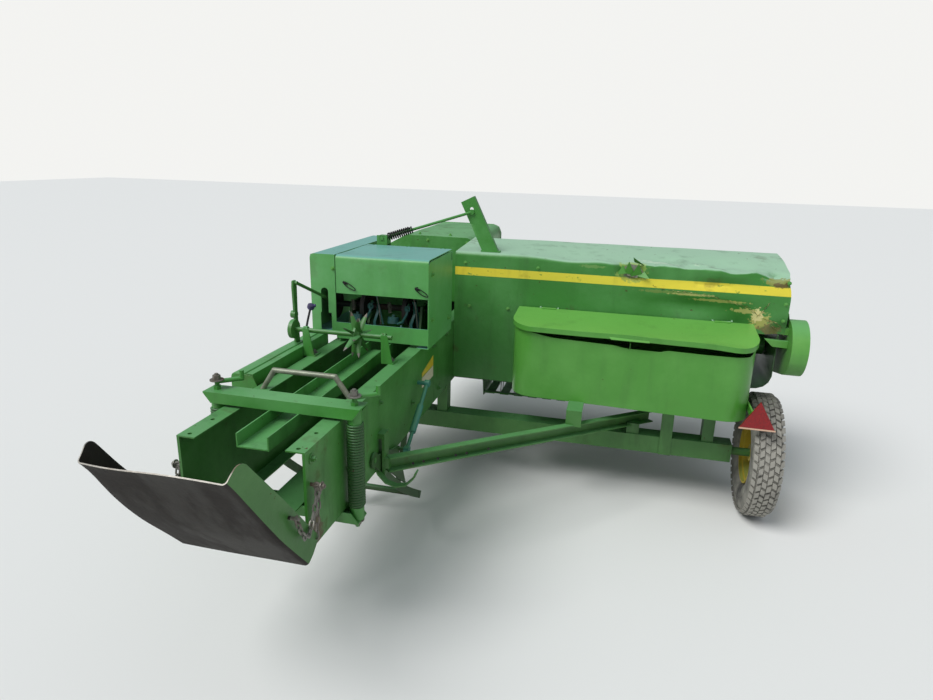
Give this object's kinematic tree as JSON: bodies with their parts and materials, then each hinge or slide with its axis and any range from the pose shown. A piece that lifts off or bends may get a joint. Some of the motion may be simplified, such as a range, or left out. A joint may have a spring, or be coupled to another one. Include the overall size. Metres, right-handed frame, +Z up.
{
  "type": "towed square baler",
  "caption": "Towed machine that picks up cut hay and presses it into tied square bales, with a long bale chamber, side feeder, needles and rear chute.",
  "frame": {"origin": "bottom centre of the whole machine's bounding box, on the ground", "axes": "+X is the machine's right side, +Y its direction of travel, +Z up"},
  "size_m": [2.68, 4.8431, 1.6348],
  "materials": {
    "green": "weathered gloss green paint with dust and rust at the edges",
    "dark_green": "old dull green paint over castings and frame",
    "yellow": "faded yellow paint",
    "steel": "worn bare steel with light rust",
    "rusty": "bare brown steel, polished and rusted by bales",
    "black": "aged black rubber",
    "red": "red reflector with a pale rim",
    "worn_grey": "worn grey paint"
  },
  "bodies": {
    "machine": {"bale_case": "green", "tension_rail": "green", "crossbars": "green", "tension_springs": "steel", "tension_cranks": "dark_green", "hand_rail": "worn_grey", "side_shelf": "green", "chute_chains": "steel", "knotter_cover": "green", "knotter_frame": "dark_green", "knotter_gears": "dark_green", "meter_brackets": "green", "trip_arm": "dark_green", "feeder_house": "green", "feeder_pan": "dark_green", "drive_shield": "green", "twine_box": "green", "axle_beam": "dark_green", "frame_brace": "green", "needle_link": "steel", "drive_cover": "green", "lift_lever": "green", "spring_rod": "green", "plunger": "steel", "gearbox": "green", "reflector": "red"},
    "chute": {"bale_chute": "rusty"},
    "hood": {"knotter_hood": "green"},
    "lid": {"twine_lid": "green"},
    "star_wheel": {"star_wheel": "dark_green"},
    "auger": {"auger": "steel"},
    "wheel_right": {"tyre_right": "black", "rim_right": "yellow"},
    "wheel_left": {"tyre_left": "black", "rim_left": "yellow"},
    "yoke": {"needle_yoke": "green"},
    "pickup": {"pickup_frame": "green", "pickup_bands": "steel"},
    "reel": {"pickup_reel": "steel"},
    "gauge_wheel": {"gauge_wheel": "black"},
    "flywheel": {"flywheel": "green"},
    "tongue": {"tongue": "green"},
    "jack": {"jack_leg": "steel"}
  },
  "joints": [
    {"name": "chute_lower", "type": "hinge", "parent": "machine", "child": "chute", "pos_m": [-0.81, -1.99845, 0.533], "axis": [1, 0, 0], "range_deg": [0, 50]},
    {"name": "hood_open", "type": "hinge", "parent": "machine", "child": "hood", "pos_m": [-0.81, -0.32245, 1.359], "axis": [-1, 0, 0], "range_deg": [0, 80]},
    {"name": "lid_open", "type": "hinge", "parent": "machine", "child": "lid", "pos_m": [0.455, -0.11345, 1.0323], "axis": [-1, 0, 0], "range_deg": [0, 88]},
    {"name": "star_spin", "type": "hinge", "parent": "machine", "child": "star_wheel", "pos_m": [-0.81, -0.99345, 1.038], "axis": [1, 0, 0], "continuous": true},
    {"name": "auger_spin", "type": "hinge", "parent": "machine", "child": "auger", "pos_m": [1.24, 0.20155, 0.85], "axis": [1, 0, 0], "continuous": true},
    {"name": "wheel_right_spin", "type": "hinge", "parent": "machine", "child": "wheel_right", "pos_m": [1.175, -0.19345, 0.3335], "axis": [1, 0, 0], "continuous": true},
    {"name": "wheel_left_spin", "type": "hinge", "parent": "machine", "child": "wheel_left", "pos_m": [-1.265, -0.19345, 0.3335], "axis": [1, 0, 0], "continuous": true},
    {"name": "yoke_lift", "type": "hinge", "parent": "machine", "child": "yoke", "pos_m": [-0.81, -1.40745, 0.621], "axis": [1, 0, 0], "range_deg": [0, 31]},
    {"name": "pickup_lift", "type": "hinge", "parent": "machine", "child": "pickup", "pos_m": [-0.51, 0.47155, 0.512], "axis": [1, 0, 0], "range_deg": [0, 12]},
    {"name": "reel_spin", "type": "hinge", "parent": "pickup", "child": "reel", "pos_m": [-0.51, 0.82155, 0.4], "axis": [1, 0, 0], "continuous": true},
    {"name": "gauge_spin", "type": "hinge", "parent": "pickup", "child": "gauge_wheel", "pos_m": [1.165, 0.94155, 0.29], "axis": [1, 0, 0], "continuous": true},
    {"name": "flywheel_spin", "type": "hinge", "parent": "machine", "child": "flywheel", "pos_m": [-0.81, 1.33155, 0.775], "axis": [0, 1, 0], "continuous": true},
    {"name": "tongue_swing", "type": "hinge", "parent": "machine", "child": "tongue", "pos_m": [-0.69, 0.98155, 0.417], "axis": [0, 0, 1], "range_deg": [0, 22]},
    {"name": "jack_lift", "type": "slide", "parent": "tongue", "child": "jack", "axis": [0, 0, 1], "range_m": [0, 0.25]}
  ]
}
